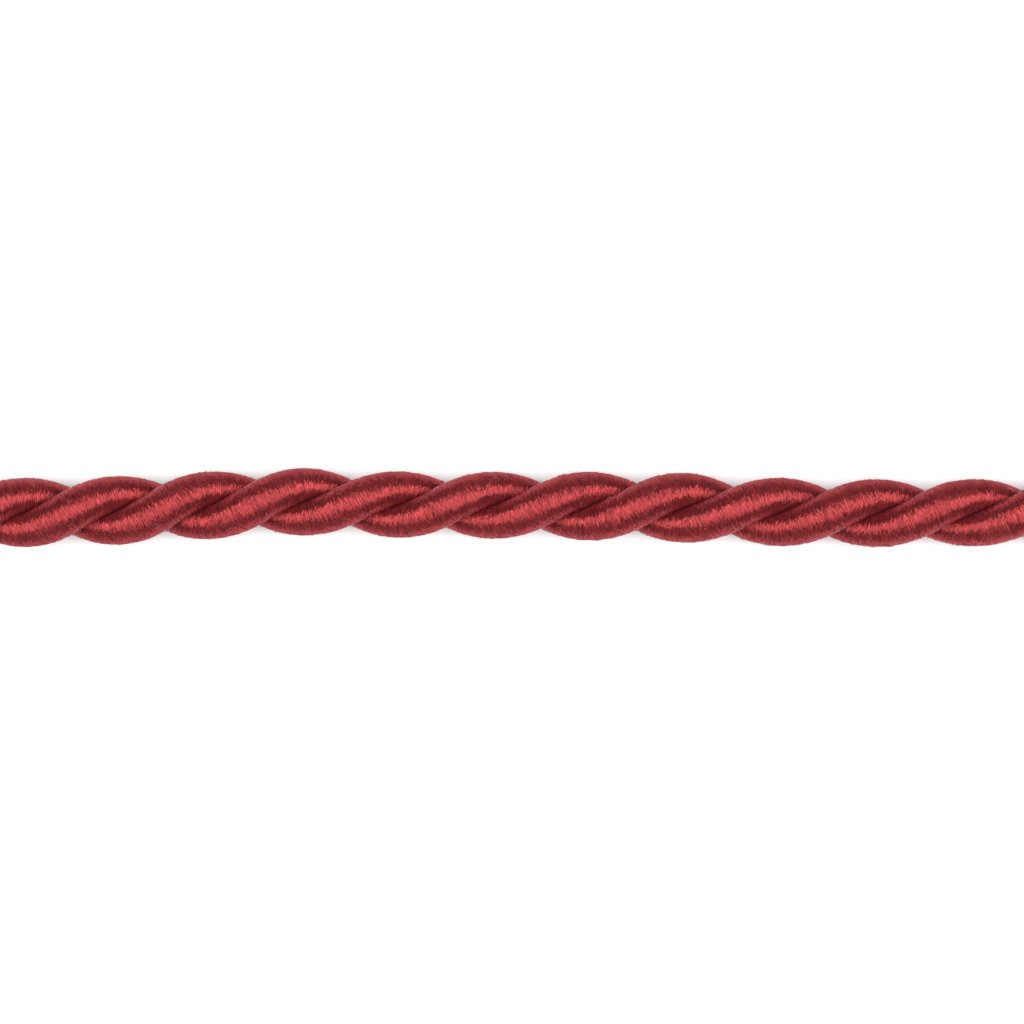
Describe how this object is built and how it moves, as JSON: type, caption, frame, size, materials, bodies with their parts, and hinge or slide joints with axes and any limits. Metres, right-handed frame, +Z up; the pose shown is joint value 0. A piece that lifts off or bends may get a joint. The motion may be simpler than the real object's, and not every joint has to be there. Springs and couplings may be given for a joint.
{
  "type": "twisted cord trim",
  "caption": "Cut length of twisted decorator cord: satin-wrapped plies laid up with an S twist, for edging cushions, curtains and upholstery seams.",
  "frame": {"origin": "on the surface that the cord lies on, under the middle of its length and width", "axes": "+X along the cord, +Y across it on the surface, +Z up"},
  "size_m": [0.1754, 0.011, 0.0094],
  "materials": {
    "satin_thread": "crimson satin thread wrapped close round a soft core, with a gloss across the thread"
  },
  "bodies": {
    "root": {"ply_1": "satin_thread", "ply_2": "satin_thread"}
  },
  "joints": []
}
